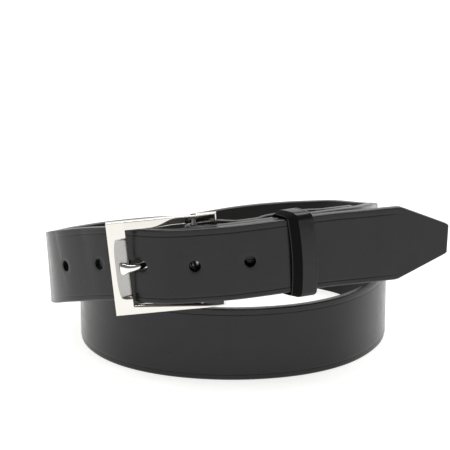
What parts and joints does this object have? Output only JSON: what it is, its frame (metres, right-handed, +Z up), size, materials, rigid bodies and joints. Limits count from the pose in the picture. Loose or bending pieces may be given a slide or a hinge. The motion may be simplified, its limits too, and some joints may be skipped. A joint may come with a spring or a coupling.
{
  "type": "leather belt",
  "caption": "Black leather dress belt with creased edges, chrome-plated rectangular prong buckle and leather keeper, buckled and wound into an upright coil.",
  "frame": {"origin": "middle of the bounding box's footprint, on the floor the lower turn stands on", "axes": "+X to the wearer-side tip of the strap, along the buckle; +Y from the buckle towards the back of the coil; +Z up, along the strap's width"},
  "size_m": [0.1936, 0.1516, 0.0829],
  "materials": {
    "strap_leather": "smooth semi-matte, creased and painted edges",
    "keeper_leather": "smooth semi-matte",
    "buckle_chrome": "polished plating",
    "screw_metal": "blackened, satin"
  },
  "bodies": {
    "strap_body": {"strap": "strap_leather", "screw_post_1": "screw_metal", "screw_cap_1": "screw_metal", "screw_post_2": "screw_metal", "screw_cap_2": "screw_metal"},
    "buckle": {"buckle_frame": "buckle_chrome", "heel_bar": "buckle_chrome"},
    "prong_body": {"prong": "buckle_chrome"},
    "keeper_body": {"keeper": "keeper_leather"}
  },
  "joints": [
    {"name": "buckle_swing", "type": "hinge", "parent": "strap_body", "child": "buckle", "pos_m": [-0.01872, -0.06647, 0.0405], "axis": [-0.0993, 0, 0.9951], "range_deg": [-1, 2.5]},
    {"name": "prong_swing", "type": "hinge", "parent": "buckle", "child": "prong_body", "pos_m": [-0.01872, -0.06647, 0.0405], "axis": [-0.0993, 0, 0.9951], "range_deg": [0, 1]},
    {"name": "keeper_slide", "type": "slide", "parent": "strap_body", "child": "keeper_body", "axis": [0.9584, 0.2779, 0.0644], "range_m": [-0.0005, 0.0025]}
  ]
}
